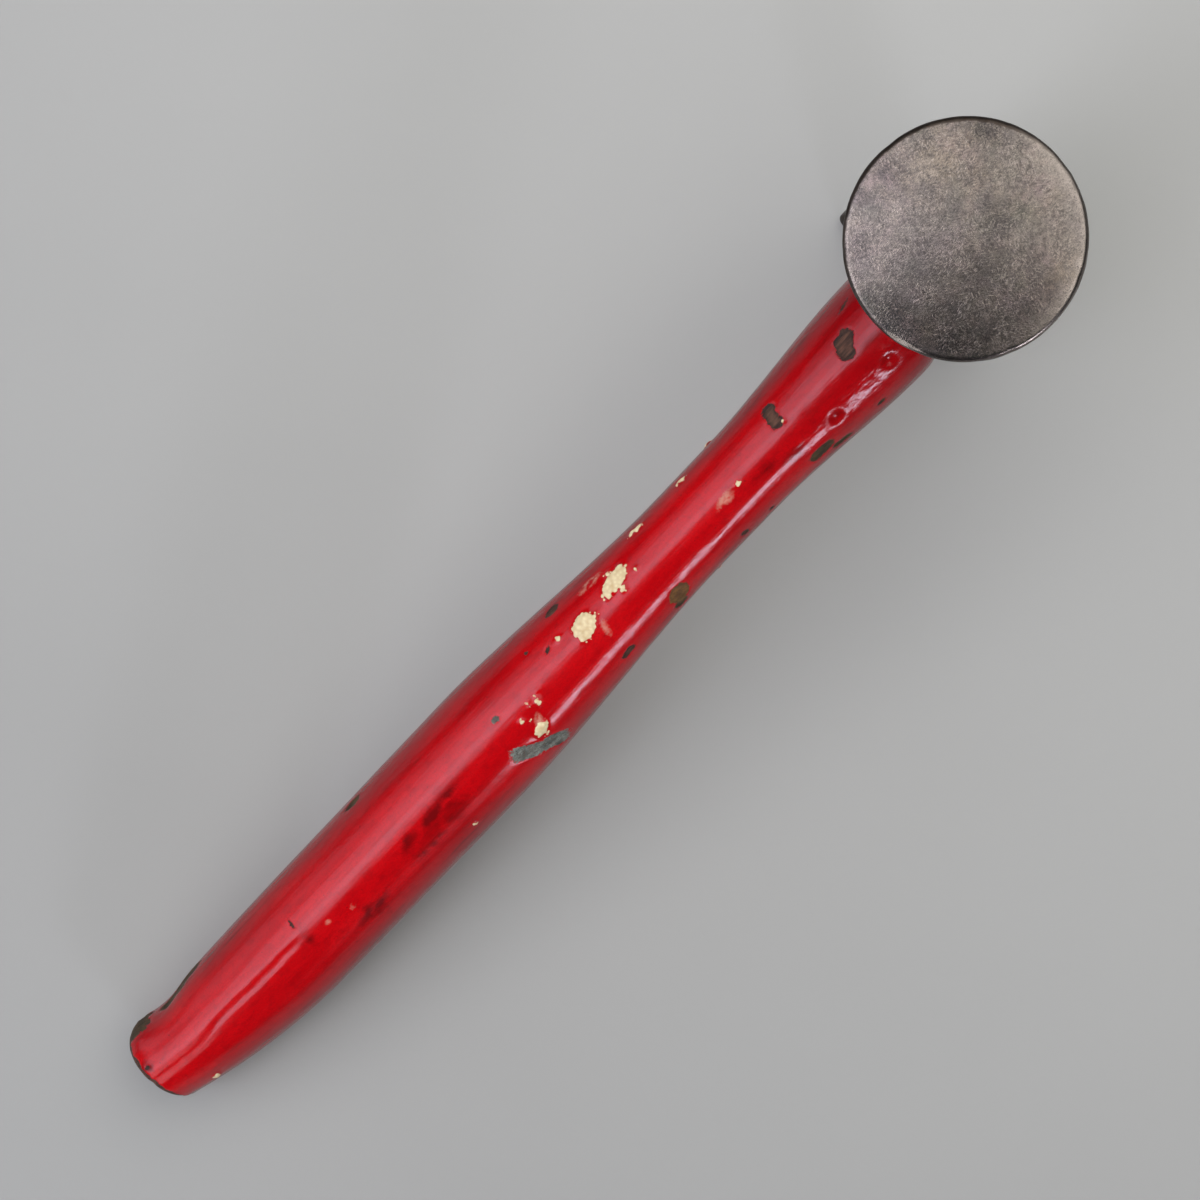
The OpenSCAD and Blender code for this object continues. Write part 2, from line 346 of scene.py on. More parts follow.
# Most of these are stains. The marks at (40.9, 28) and (185.7, 1) are painted shade in a dent.
stains_and_dent_shade = [
    (149.6, 8, 4, 1.3, 20), (144, 2, 3, 0.9, 10), (157.2, 10, 2.5, 1, 30),
    (153.5, 22, 5, 1.6, 12), (146.1, 22, 4, 1.5), (174.2, 30, 2.2, 0.9, 20),
    (171.1, 34, 2.4, 1, 20), (231.6, -14, 1.5, 1), (185.7, 1, 1, 2.4, -8),
    (57, 14, 2.2, 0.7), (51, 26, 2, 0.8), (40.9, 28, 1.2, 1),
]
print(len(cream_drops), "drops and", len(stains_and_dent_shade), "stains in view")

# %% Crumbs beside the largest drops, and chips and drops underneath
crumbs_each, crumb_along, crumb_around = 3, 1.8, 9
chips_below, drops_below = 24, 8
below_from, below_to = 95, 265

scatter = np.random.default_rng(4)
for x, angle in [drop[:2] for drop in cream_drops[:5]]:
    for number in range(crumbs_each):
        size = scatter.uniform(0.2, 0.4)
        crumb_x = x + scatter.normal(0, crumb_along)
        crumb_angle = angle + scatter.normal(0, crumb_around)
        cream_drops.append((crumb_x, crumb_angle, size * 1.3, size))
for number in range(chips_below):
    size = scatter.uniform(0.3, 1.3) ** 1.5
    place = scatter.uniform(26, 226), scatter.uniform(below_from, below_to)
    kind = olive_chips if number % 3 == 0 else wood_chips
    kind.append((*place, size * scatter.uniform(1.2, 2.6), size, scatter.uniform(-30, 30)))
for number in range(drops_below):
    size = scatter.uniform(0.3, 1)
    place = scatter.uniform(60, 200), scatter.uniform(below_from, below_to)
    cream_drops.append((*place, size * 1.5, size))
bare = inside_any(wood_chips + worn_ends + olive_chips + ochre_chips + slate_chips, 0.4)
cream = inside_any(cream_drops, 0.4)
thin = inside_any(thin_drops, 0.7)
stain_and_dent_shade = inside_any(stains_and_dent_shade, 0.8)
print((bare > 0).sum(), "points lie in chips and", (cream > 0).sum(), "under cream paint")

# %% [markdown]
# ## The paint's relief
# The paint was brushed on by hand, so it has runs and lumps, most of them near the head. They bend a
# highlight, and a bent highlight tells the eye that paint is thick. Under the lumps the handle is a
# little flat, which broadens the highlight, and two lumps are rings around a dent. Further on, a band
# along the right is faintly uneven. Chips go down through the coat, drops stand up. Along the butt runs a
# groove, and at its end knocks have pushed out a lip of wood. Noise and round swellings add up to one
# height for each point, and the point moves that far along its normal.

# %% Steps, swellings and a way to move points
bench_spare = 0.006


def soft_step(distance, width):
    """0 outside an edge and 1 inside, over a band of the given width."""
    return ease(np.clip(distance / width + 0.5, 0, 1))


def swelling(x, angle, half_long, half_wide):
    """A round swelling of height 1, for lumps, dents and lips."""
    return np.exp(-(((along - x) / half_long) ** 2) - (around_from(angle) / half_wide) ** 2)


def move_along_normals(piece, heights):
    """Moves each point by its height, in mm, along its normal, but not into the bench."""
    places = at_points(piece, "co")
    above_bench = eye_place.z / MM + places @ np.array(turn.to_3x3())[2]
    heights = np.minimum(heights, above_bench - bench_spare)
    moved = places + at_points(piece, "normal") * heights[:, None]
    piece.data.vertices.foreach_set("co", moved.ravel())
    piece.data.update()


# %% Runs and lumps, in mm
run_h, ripple_h = 0.04, 0.015
flat_depth, lump_h, knob_h, streak_h, uneven_h = 0.2, 0.09, 0.05, 0.05, 0.05
dents = ((40.9, 28), (26.6, 24))
ring_r, pit_r, clear_r = 2.2, 1.3, 2.4

heights = run_h * noise_at(places * [0.4, 1, 1], 5, 5) + ripple_h * noise_at(places * [0.5, 1, 1], 2, 6)
heights -= flat_depth * swelling(30, 26, 16, 2.2)
lumpy = swelling(33, 25, 19, 4)
for dent_x, dent_angle in dents:
    lumpy *= 1 - swelling(dent_x, dent_angle, clear_r, clear_r)
heights += lumpy * (lump_h * noise_at(places * [0.8, 1, 1], 2.4, 8) + knob_h * noise_at(places, 1.3, 10))
heights += streak_h * swelling(34, -10, 16, 5) * noise_at(places * [0.7, 1, 1], 2.2, 20)
uneven_band = swelling(88, 29, 45, 3.5)
heights += uneven_h * uneven_band * noise_at(places * [0.6, 1, 1], 2.4, 21)
print(f"Runs and lumps from {heights.min():.2f} to {heights.max():.2f} mm")

# %% Chips, drops, ringed dents, the groove and the lip, in mm
paint_thick, drop_thick = 0.25, 0.35
ring_h, pit_depth = 0.3, 0.6
groove_from, groove_bend, groove_depth, groove_half = 188, 216, 0.18, 0.8
lip_h, hollow_depth = 1.3, 0.7

heights -= paint_thick * soft_step(bare - 0.2, 0.45)
heights += drop_thick * soft_step(cream, 0.6) * (1 + noise_at(places, 0.9, 7))
for dent_x, dent_angle in dents:
    heights += ring_h * swelling(dent_x, dent_angle, ring_r, ring_r)
    heights -= pit_depth * swelling(dent_x, dent_angle, pit_r, pit_r)
grooved = soft_step(along - groove_from, 8)
groove_angle = -1 + 8 * soft_step(along - groove_bend, 12)
off_groove = around_from(groove_angle) + 0.2 * bend_around
heights -= groove_depth * grooved * np.exp(-((off_groove / groove_half) ** 2))
heights += lip_h * swelling(230.5, -82, 3.4, 6.5) - hollow_depth * swelling(221, -78, 4.5, 6)
heights *= soft_step(along - seat_x - 0.5, 0.6)
move_along_normals(handle, heights)
print(f"Relief from {heights.min():.2f} to {heights.max():.2f} mm")

# %% [markdown]
# ## What the paint's material needs to know
# The paint is darker along the sides, underneath, along the right of the grip and next to the head:
# painted shade, with some grime. It could be painted by hand in Texture Paint, but a rule is easier to
# change. An attribute holds one number for each point, and the material reads it by name.

# %% Write the attributes
def write_attribute(piece, name, values):
    attribute = piece.data.attributes.new(name, "FLOAT", "POINT")
    attribute.data.foreach_set("value", np.ascontiguousarray(values, dtype=np.float32))


# The grime attribute is painted shade with some grime: the paint is darker along the sides, underneath,
# along the right of the grip and next to the head.
undarkened_middle, undarkened_half, undarkened_fade = 9, 55, 44
waver = noise_at(places * [0.4, 1, 1], 6, 9)
sides = soft_step(np.abs(round_top - undarkened_middle) + 14 * waver - undarkened_half, undarkened_fade)
right_band = soft_step(round_top - 36 + 9 * waver, 9) * soft_step(along - 140, 24)
near_head = soft_step(50 - along + 12 * waver, 60)
grime_and_shade = np.clip(0.8 * sides + 0.35 * right_band + 0.4 * near_head, 0, 1)
tenon_is_bare = np.where(along > seat_x - 0.05, bare, 1)
for name, values in (
    ("grime_and_shade", grime_and_shade), ("crusted", sides), ("lumpy", np.maximum(lumpy, 0.45 * uneven_band)),
    ("bare", tenon_is_bare), ("cream", cream), ("thin", thin), ("stain_and_dent_shade", stain_and_dent_shade),
):
    write_attribute(handle, name, values)
for name, chips in (("olive", olive_chips), ("ochre", ochre_chips), ("slate", slate_chips)):
    write_attribute(handle, name, soft_step(inside_any(chips, 0) + 0.6, 0.8))
print(f"Grime covers {100 * (grime_and_shade > 0.5).mean():.0f} percent of the handle's points")

# %% [markdown]
# ## The head's shape
# The head is one forging. From the top: a shallow dome, a worn rim, a hollow flare down to a round neck,
# shoulders that square up into the cheeks around the eye, and the peen, which thins, fans out and curves
# towards the handle. Rings across Z follow the CAD outline. A ring is a curve between an ellipse and a
# rectangle, so one formula covers round neck and flat cheeks.

# %% Rings of the head
head_spokes = 96
around_head = [2 * math.pi * number / head_spokes for number in range(head_spokes)]


def head_ring(x, z, tilt, half_x, half_y, power):
    """A ring across the head, tilted about Y. Power 2 is an ellipse, and more is squarer."""
    ring = []
    for a in around_head:
        reach = (abs(math.cos(a)) ** power + abs(math.sin(a)) ** power) ** (-1 / power)
        thick = half_x * math.cos(a) * reach
        wide = half_y * math.sin(a) * reach
        ring.append(Vector((x + thick * math.cos(tilt), wide, z + thick * math.sin(tilt))))
    return ring


def round_ring(r, z):
    return head_ring(0, z, 0, r, r, 2)


# %% Face, rim and flare
face_r, face_crown, face_reach = 20, 0.8, 50
rim_round, rim_foot_r, rim_foot_z = 1, 19.6, 43.7
neck_r, neck_z = 9.3, 25.7
flat_r = face_r - rim_round
dome_r = (flat_r**2 + face_crown**2) / (2 * face_crown)
edge_z = face_reach - face_crown - rim_round
flare_l = rim_foot_z - neck_z
flare_turn = 2 * math.atan((rim_foot_r - neck_r) / flare_l)
flare_r = flare_l / math.sin(flare_turn)

dome = np.concatenate([[0.8], np.linspace(2, flat_r - 0.6, 13), [flat_r - 0.2]])
head_rings = [round_ring(r, face_reach - dome_r + math.sqrt(dome_r**2 - r**2)) for r in dome]
for a in np.radians([85, 65, 45, 25, 5]):
    head_rings.append(round_ring(flat_r + rim_round * math.cos(a), edge_z + rim_round * math.sin(a)))
for share in (0.25, 0.5, 0.75, 0.93):
    head_rings.append(round_ring(mix(face_r, rim_foot_r, share), mix(edge_z, rim_foot_z, share)))
for a in flare_turn * np.linspace(0.985, 0, 15):
    head_rings.append(round_ring(neck_r + flare_r * (1 - math.cos(a)), neck_z + flare_r * math.sin(a)))
print(f"The dome has a radius of {dome_r:.0f} mm, the hollow of the flare one of {flare_r:.0f} mm")

# %% Shoulders, cheeks and peen
half_cheek, half_h, cheek_power = 12.5, 11, 4
peen_reach, peen_droop, edge_r, peen_power = 61, 18.5, 2.5, 5
root_half_t, root_half_w, peen_half_w = 7.5, 12, 19.5
root_share, thinning_power, fan_power = 0.3, 0.8, 1.4
drop = peen_reach - half_h

for share in np.linspace(0, 1, 10)[1:]:
    swell = mix(ease(share), math.sin(share * math.pi / 2), 0.6)
    half = mix(neck_r, half_cheek, swell)
    head_rings.append(head_ring(0, mix(neck_z, half_h, share), 0, half, half, mix(2, cheek_power, swell)))
for z in np.linspace(half_h, -half_h, 11)[1:]:
    head_rings.append(head_ring(0, z, 0, half_cheek, half_cheek, cheek_power))
for share in np.linspace(0, 1, 25)[1:]:
    to_root = ease(min(1, share / root_share))
    past_root = max(0, (share - root_share) / (1 - root_share))
    half_t = mix(mix(half_cheek, root_half_t, to_root), edge_r, past_root**thinning_power)
    half_y = mix(mix(half_cheek, root_half_w, to_root), peen_half_w, past_root**fan_power)
    tilt = math.atan(2 * peen_droop * share / drop)
    power = mix(cheek_power, peen_power, share)
    head_rings.append(head_ring(peen_droop * share**2, -half_h - drop * share, tilt, half_t, half_y, power))
for a in np.radians([20, 40, 60, 75, 86]):
    ahead = edge_r * math.sin(a)
    x, z = peen_droop + ahead * math.sin(tilt), -peen_reach - ahead * math.cos(tilt)
    half_y = peen_half_w - edge_r * (1 - math.cos(a))
    head_rings.append(head_ring(x, z, tilt, edge_r * math.cos(a), half_y, peen_power))
head = draw_rings("forged_head", head_rings)
apply_modifier(head, "SUBSURF", levels=1, render_levels=1)
print("The head has", len(head.data.polygons), "faces from", len(head_rings), "rings")

# %% [markdown]
# ## The eye
# The oval hole was drifted through the cheeks and opens towards the far side, where the wedges spread the
# tenon. Its outline is the tenon's own, so the same ring function draws the cutter. A Bevel on the sharp
# edges that the Boolean leaves gives the mouths the small round that a file or years of use would.

# %% Cut the eye and soften its mouths
mouth_round, crease = 0.35, math.radians(50)
past_cheek = 20
eye_outline = ((-past_cheek, eye_flare), (far_mouth, eye_flare), (0, 0), (past_cheek, 0))
cut_away(head, draw_rings("eye_cutter", [oval_ring(x, grow) for x, grow in eye_outline]))
apply_modifier(head, "BEVEL", width=mouth_round, segments=2, limit_method="ANGLE", angle_limit=crease)
print("The head has", len(head.data.polygons), "faces with its eye")

# %% [markdown]
# ## Wear on the head
# Forging leaves shallow dents under a dark skin. Work polishes the face, rubs the corners of cheeks and
# peen bright, and nicks the rim. A bright band on one side of the face's rim is a painted highlight, and
# the polished area sits off centre, so that the dark rim is wider on the other side: painted shade. A
# knock has left a small flat on the rim that catches the light. As on the handle, noise moves the points
# along their normals, and attributes tell the material where the steel is bright. The corners are easy to
# find: there a normal points partly along X and partly along Y.

# %% Where the steel is rubbed bright, and the painted highlight and painted shade on the rim
polish_r, rim_shade_shift = 19.55, 0.3
highlight_bearing, highlight_half = 122, 60
corner_top = 14

places = at_points(head, "co")
normals = at_points(head, "normal")
# Shifting the polished area towards +X+Y widens the dark rim on the -X-Y side: painted shade.
across = np.hypot(places[:, 0] - rim_shade_shift, places[:, 1] - rim_shade_shift)
bearing = np.degrees(np.arctan2(places[:, 1], places[:, 0]))
on_face = soft_step(places[:, 2] - edge_z - 0.35, 0.4)
polish = soft_step(polish_r - across + 0.2 * noise_at(places, 1.1, 15), 0.25) * on_face
two_ways = 2 * np.abs(normals[:, 0] * normals[:, 1])
corners = soft_step(two_ways - 0.96 + 0.12 * noise_at(places, 2.5, 16), 0.14)
corners *= soft_step(corner_top - places[:, 2], 4)
peen_edge = soft_step(-peen_reach - 0.5 - places[:, 2] + 0.6 * noise_at(places, 2, 17), 1.5)
# A band along the face's rim, brightest around bearing 122 degrees, is a painted highlight.
off_highlight = np.abs((bearing - highlight_bearing + 180) % 360 - 180)
highlit_side = soft_step(highlight_half - off_highlight, 60) * on_face
edge_mm = across + 0.6 * noise_at(places, 1.6, 18)
rim_highlight = (0.5 * soft_step(edge_mm - 17, 3.4) + 0.5 * soft_step(edge_mm - 18.7, 0.8)) * highlit_side
print(f"{100 * (polish > 0.5).mean():.0f} percent of the head's points are polished")

# %% Dents of the forging, nicks, and the knocked flat
rim_nicks = [(20, 1.2), (66, 0.8), (115, 0.9), (171, 1.1), (205, 0.7), (262, 1), (318, 0.8)]
nick_depth = 0.1
flat_bearing, flat_tilt, flat_cut = 12, 25, 0.15
forged_h, scale_h, face_h = 0.1, 0.04, 0.012

heights = (1 - on_face) * (forged_h * noise_at(places, 7, 11) + scale_h * noise_at(places, 2.2, 12))
heights += on_face * face_h * noise_at(places, 5, 13)
for nick_angle, nick_size in rim_nicks:
    a = math.radians(nick_angle)
    nick = np.array([face_r * math.cos(a), face_r * math.sin(a), edge_z + 0.7])
    heights -= nick_depth * np.exp(-(np.linalg.norm(places - nick, axis=1) / nick_size) ** 2)
a, tilt = math.radians(flat_bearing), math.radians(flat_tilt)
out_of_flat = np.array([math.cos(a) * math.sin(tilt), math.sin(a) * math.sin(tilt), math.cos(tilt)])
flat_at = flat_r * math.sin(tilt) + edge_z * math.cos(tilt) + rim_round - flat_cut
past_flat = places @ out_of_flat - flat_at
heights -= np.clip(past_flat, 0, None)
move_along_normals(head, heights)
knocked = soft_step(past_flat + 0.02 + 0.04 * noise_at(places, 1.2, 19), 0.05)
write_attribute(head, "polish", np.maximum(polish, knocked))
# The worn attribute holds wear on corners, peen and the knocked flat, and the painted highlight on the
# face's rim.
write_attribute(head, "worn", np.maximum.reduce([corners, peen_edge, rim_highlight, knocked]))
print(f"Relief from {heights.min():.2f} to {heights.max():.2f} mm")

# %% Spots on the face, each as: x, y, radius, strength
damp_spots = [
    (16.8, 0, 4, 0.9), (17.3, -5, 3, 0.7), (15.5, 5, 4, 0.7), (14, 9.5, 5, 0.6), (9, 12.5, 3, 0.4),
    (0.3, -16.5, 3, 0.7), (6, -17.3, 2.5, 0.7), (-15.5, -9.4, 3.5, 0.9), (-8, -16, 2, 0.6),
    (-0.5, 3.2, 3, 0.3), (-6.6, 10.4, 2.5, 0.5), (12.5, -11.5, 3, 0.7), (4.5, -4, 1.6, 0.5),
    (-16.5, -4, 2, 0.6), (-3, 16.5, 2, 0.5),
]
tan_spots = [(-5, -12.5, 4, 1), (-8.2, 15.2, 3, 0.8), (-9, -6, 3, 0.5)]
pale_spots = [
    (3, -6, 7, 0.8), (11, -7, 6, 0.9), (-3, 6, 4, 0.4), (-10, 9, 4, 0.6), (-4, -12.5, 3, 1),
    (8, 15.5, 3, 0.5), (-12, -3, 3, 0.5), (8, 3, 5, 0.5), (-9, -14.5, 1.8, 0.8),
]


def spotted(spots):
    """0 to 1: how strongly each point lies in one of the soft spots."""
    waver = 1 + 0.8 * noise_at(places, 2.6, 14)
    shares = [
        strength * np.exp(-(np.hypot(places[:, 0] - x, places[:, 1] - y) * waver / r) ** 2)
        for x, y, r, strength in spots
    ]
    return np.max(shares, axis=0) * on_face


for name, spots in (("damp", damp_spots), ("tan", tan_spots), ("pale", pale_spots)):
    write_attribute(head, name, spotted(spots))
    print(len(spots), name, "spots on the face")

# %% [markdown]
# ## Settle the pieces
# So far the pieces are drawn in millimetres about the eye. Applying the way to the bench puts that into
# their meshes, and leaves each object at the origin, unturned and unscaled, as the CAD nodes are.

# %% Stand the pieces on the bench and hang them on the frame
def settle(piece, node):
    """Moves a piece from the tool frame to the bench, and puts it in the place of its CAD node."""
    bpy.ops.object.select_all(action="DESELECT")
    piece.select_set(True)
    bpy.context.view_layer.objects.active = piece
    piece.matrix_world = stand
    bpy.ops.object.transform_apply(location=True, rotation=True, scale=True)
    bpy.ops.object.shade_smooth_by_angle(angle=crease)
    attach(piece, "root")
    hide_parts(node)
    print(piece.name, "stands in the place of", node)


settle(handle, "handle")
settle(head, "hammer_head")

# %% [markdown]
# ## Materials
# A material is a tree of nodes. One function adds a node, sets it up and links it. Patterns are drawn in
# the tool frame, in millimetres, so that grain runs along the handle and a size in a pattern is a real
# size.

# %% Colours and nodes
def colour(code):
    """Linear colour from an sRGB hex code."""
    parts = [int(code[at:at + 2], 16) / 255 for at in (1, 3, 5)]
    return [part / 12.92 if part <= 0.04045 else ((part + 0.055) / 1.055) ** 2.4 for part in parts] + [1]


def new_material(name):
    material = bpy.data.materials.new(name)
    material.use_nodes = True
    material.node_tree.nodes.clear()
    return material


def add(owner, kind, links, **settings):
    """Adds a node with its settings. Each input gets a value, or a link from another node's output."""
    node = owner.node_tree.nodes.new("ShaderNode" + kind)
    for name, value in settings.items():
        setattr(node, name, value)
    for socket, source in links.items():
        if isinstance(source, bpy.types.NodeSocket):
            owner.node_tree.links.new(source, node.inputs[socket])
        else:
            node.inputs[socket].default_value = source
    return node.outputs


def tool_frame(material):
    """Places in the tool frame, in mm, for patterns to be drawn in."""
    place = add(material, "TexCoord", {})["Object"]
    return add(material, "Mapping", {
        "Vector": place, "Location": eye_place, "Rotation": (0, lean, 0), "Scale": (MM, MM, MM),
    }, vector_type="TEXTURE")[0]


def dress(piece, material):
    """Gives the piece one material."""
    piece.data.materials.clear()
    piece.data.materials.append(material)


# Sockets of a Mix node for colours. One for numbers has its factor at 0, and what it mixes at 2 and 3.
FACTOR, COLOUR_A, COLOUR_B, COLOUR = 0, 6, 7, 2

# %% [markdown]
# ## Gloss enamel on wood: the patterns
# The red is a gloss enamel, brushed on in thick coats over older ones. Brush marks run along the handle,
# smears make some places duller, and fine crumbs roughen whatever is bare. Each is a noise with its own
# size along X and across. A photo could be projected instead, but noise has no seam and no limit of
# sharpness.

# %% Patterns of the enamel, with the size of their lumps along and across in mm
paint = new_material("chipped_gloss_enamel_on_wood")
in_tool = tool_frame(paint)
# Real brush marks, specks and crumbs are finer. These are as coarse as they need to be to show.
enamel_patterns = {
    "brush": ((40, 0.7, 0.7), 4), "smears": ((16, 4, 4), 5), "mottle": ((2.5, 1.4, 1.4), 4),
    "peel": ((1.6, 1.2, 1.2), 1), "specks": ((0.5, 0.5, 0.5), 1), "crumbs": ((0.4, 0.4, 0.4), 3),
    "grain": ((5, 0.5, 0.5), 4), "dirt": ((11, 1.3, 1.3), 6),
}
pattern = {}
for name, (sizes, detail) in enamel_patterns.items():
    stretched = add(paint, "Mapping", {"Vector": in_tool, "Scale": sizes}, vector_type="TEXTURE")[0]
    pattern[name] = add(paint, "TexNoise", {
        "Vector": stretched, "Scale": 1, "Detail": detail, "Roughness": 0.6,
    })[0]
print(len(pattern), "patterns in the enamel")

# %% Edges of the marks, roughened by the crumbs
crumb_mm, lobe_mm, lobe_size = 0.2, 0.25, 0.75
crumb_edge = add(paint, "MapRange", {
    "Value": pattern["crumbs"], "From Min": 0.25, "From Max": 0.75, "To Min": -crumb_mm, "To Max": crumb_mm,
})[0]
lobes = add(paint, "TexVoronoi", {
    "Vector": in_tool, "Scale": 1 / lobe_size,
}, feature="SMOOTH_F1")["Distance"]
lobe_edge = add(paint, "MapRange", {
    "Value": lobes, "From Min": 0.15, "From Max": 0.7, "To Min": lobe_mm, "To Max": -lobe_mm,
})[0]
written = {}
for name in ("bare", "cream", "thin", "stain_and_dent_shade", "grime_and_shade", "crusted", "lumpy", "olive", "ochre", "slate"):
    written[name] = add(paint, "Attribute", {}, attribute_name=name)["Fac"]
mask = {}
for name, soft_mm in (("bare", 0.08), ("cream", 0.06), ("thin", 0.35), ("stain_and_dent_shade", 0.6)):
    rough_edge = lobe_edge if name == "cream" else crumb_edge
    ragged_mm = add(paint, "Math", {0: written[name], 1: rough_edge}, operation="ADD")[0]
    mask[name] = add(paint, "MapRange", {"Value": ragged_mm, "From Min": -soft_mm, "From Max": soft_mm})[0]
print(", ".join(mask), "have their edges")

# %% [markdown]
# ## Gloss enamel on wood: the colours
# The red wavers between two neighbours, so that it never looks like plastic. Painted shade with some
# grime darkens it to a brownish red along the sides and next to the head, with a few brown smudges.
# Under the chips lies old wood, nearly black with dirt, or an older coat: olive, ochre or slate. The
# drops are a crumbly cream. Each Mix lays one layer over the ones before it.

# %% Red, painted shade with grime, and stains with painted dent shade
share = {}
for name, source, low, high, most in (
    ("smeared", "smears", 0.35, 0.65, 1), ("mottled", "mottle", 0.48, 0.72, 0.7),
    ("dusty", "crumbs", 0.45, 0.7, 0.45), ("dirty", "dirt", 0.54, 0.7, 0.7),
    ("specked", "specks", 0.74, 0.78, 0.6), ("spotty", "mottle", 0.38, 0.62, 1),
    ("crumbly", "peel", 0.3, 0.5, 0.6), ("patchy", "smears", 0.3, 0.55, 1),
    ("grained", "grain", 0.36, 0.66, 1),
):
    share[name] = add(paint, "MapRange", {
        "Value": pattern[source], "From Min": low, "From Max": high, "To Max": most,
    })[0]
for name, first, second in (
    ("smudged", share["dirty"], written["grime_and_shade"]), ("thin", mask["thin"], share["crumbly"]),
    ("stained_and_dent_shaded", mask["stain_and_dent_shade"], share["patchy"]),
):
    share[name] = add(paint, "Math", {0: first, 1: second}, operation="MULTIPLY")[0]
skin = add(paint, "Mix", {
    FACTOR: share["smeared"], COLOUR_A: colour("#b9030b"), COLOUR_B: colour("#c9040d"),
}, data_type="RGBA")[COLOUR]
# The darker red #86040c, laid on by the grime attribute, is painted shade with some grime.
for amount, code in (
    (share["mottled"], "#a1030b"), (share["dusty"], "#94050d"), (written["grime_and_shade"], "#86040c"),
    (share["smudged"], "#33140f"), (share["stained_and_dent_shaded"], "#740306"), (share["specked"], "#4a0a0a"),
    (share["thin"], "#d9a893"),
):
    skin = add(paint, "Mix", {
        FACTOR: amount, COLOUR_A: skin, COLOUR_B: colour(code),
    }, data_type="RGBA")[COLOUR]
print(len(share), "shares of dirt, dust and wear")

# %% Wood and older coats under the chips, and the cream drops
under = add(paint, "Mix", {
    FACTOR: share["grained"], COLOUR_A: colour("#26180f"), COLOUR_B: colour("#6b4837"),
}, data_type="RGBA")[COLOUR]
dirty_rim = add(paint, "MapRange", {
    "Value": written["bare"], "From Min": 0.7, "From Max": 0, "To Max": 0.7,
})[0]
under = add(paint, "Mix", {
    FACTOR: dirty_rim, COLOUR_A: under, COLOUR_B: colour("#170d09"),
}, data_type="RGBA")[COLOUR]
for name, dark, light in (
    ("olive", "#2c2717", "#554527"), ("ochre", "#5f3f1c", "#8a6130"), ("slate", "#565c57", "#8f958e"),
):
    coat = add(paint, "Mix", {
        FACTOR: share["spotty"], COLOUR_A: colour(dark), COLOUR_B: colour(light),
    }, data_type="RGBA")[COLOUR]
    worn = add(paint, "Math", {0: written[name], 1: pattern["crumbs"]}, operation="MULTIPLY")[0]
    left = add(paint, "MapRange", {"Value": worn, "From Min": 0.2, "From Max": 0.6})[0]
    under = add(paint, "Mix", {FACTOR: left, COLOUR_A: under, COLOUR_B: coat}, data_type="RGBA")[COLOUR]
crumbly_cream = add(paint, "Mix", {
    FACTOR: lobes, COLOUR_A: colour("#f4e6bf"), COLOUR_B: colour("#c9a875"),
}, data_type="RGBA")[COLOUR]
for name, layer in (("bare", under), ("cream", crumbly_cream)):
    skin = add(paint, "Mix", {
        FACTOR: mask[name], COLOUR_A: skin, COLOUR_B: layer,
    }, data_type="RGBA")[COLOUR]
print(len(paint.node_tree.nodes), "nodes so far")

# %% [markdown]
# ## Gloss enamel on wood: the shine
# Enamel has an index of refraction of about 1.5, here matched to 1.43 for an old, dulled coat. Old gloss
# is no mirror, so the highlight is soft and streaky. Where the paint is darkened by painted shade and
# grime the gloss is evened out, and so it is on the lumps. Wood and cream are matt. Four Bump nodes, one
# after another, add what is too fine for the mesh: brush marks, a faint orange peel that is strongest on
# the lumps, a crust of dirt on the sides, and crumbs on whatever is bare.

# %% Roughness of the enamel
enamel_ior, matt = 1.43, 0.7
glossy, smeared, wet_gloss, grime_and_shade_gloss = 0.11, 0.27, 0.16, 0.19

streaks = add(paint, "Mix", {0: 0.5, 2: pattern["smears"], 3: pattern["brush"]}, data_type="FLOAT")[0]
rough = add(paint, "MapRange", {
    "Value": streaks, "From Min": 0.3, "From Max": 0.7, "To Min": glossy, "To Max": smeared,
})[0]
dull = add(paint, "Math", {0: mask["bare"], 1: mask["cream"]}, operation="MAXIMUM")[0]
for amount, value in ((written["grime_and_shade"], grime_and_shade_gloss), (written["lumpy"], wet_gloss), (dull, matt)):
    rough = add(paint, "Mix", {0: amount, 2: rough, 3: value}, data_type="FLOAT")[0]
print("Roughness from", glossy, "on the glossiest streaks to", matt, "on wood and cream")

# %% Bumps and the shader of the enamel
brush_mm, peel_mm, crust_mm, crumb_bump_mm = 0.04, 0.08, 0.2, 0.2
bare_bump = 0.7

peel_share = add(paint, "MapRange", {"Value": written["lumpy"], "To Min": 0.12})[0]
bumpy = add(paint, "Bump", {"Strength": 1, "Distance": brush_mm * MM, "Height": pattern["brush"]})[0]
for name, amount, strength, height_mm in (
    ("peel", peel_share, 1, peel_mm), ("mottle", written["crusted"], 1, crust_mm),
    ("crumbs", dull, bare_bump, crumb_bump_mm),
):
    height = add(paint, "Math", {0: pattern[name], 1: amount}, operation="MULTIPLY")[0]
    bumpy = add(paint, "Bump", {
        "Strength": strength, "Distance": height_mm * MM, "Height": height, "Normal": bumpy,
    })[0]
shader = add(paint, "BsdfPrincipled", {
    "Base Color": skin, "Roughness": rough, "IOR": enamel_ior, "Normal": bumpy,
    "Specular Tint": colour("#f2f2ff"),
})[0]
add(paint, "OutputMaterial", {"Surface": shader})
dress(handle, paint)
print(paint.name, "has", len(paint.node_tree.nodes), "nodes")

# %% [markdown]
# ## Worn forged steel
# The face is dull grey steel with a grain of short scratches that run every way, dark furrows between
# them, damp pits, and pale and tan spots. The rest keeps the dark brown skin of the forge, rubbed bright
# on its corners. Scratches could be a tiled picture. Here three stretched noises, each turned another
# way, give strokes that never repeat. Tints of the noise's own colour, laid over the grey, give the faint
# blue, green and tan of old steel.

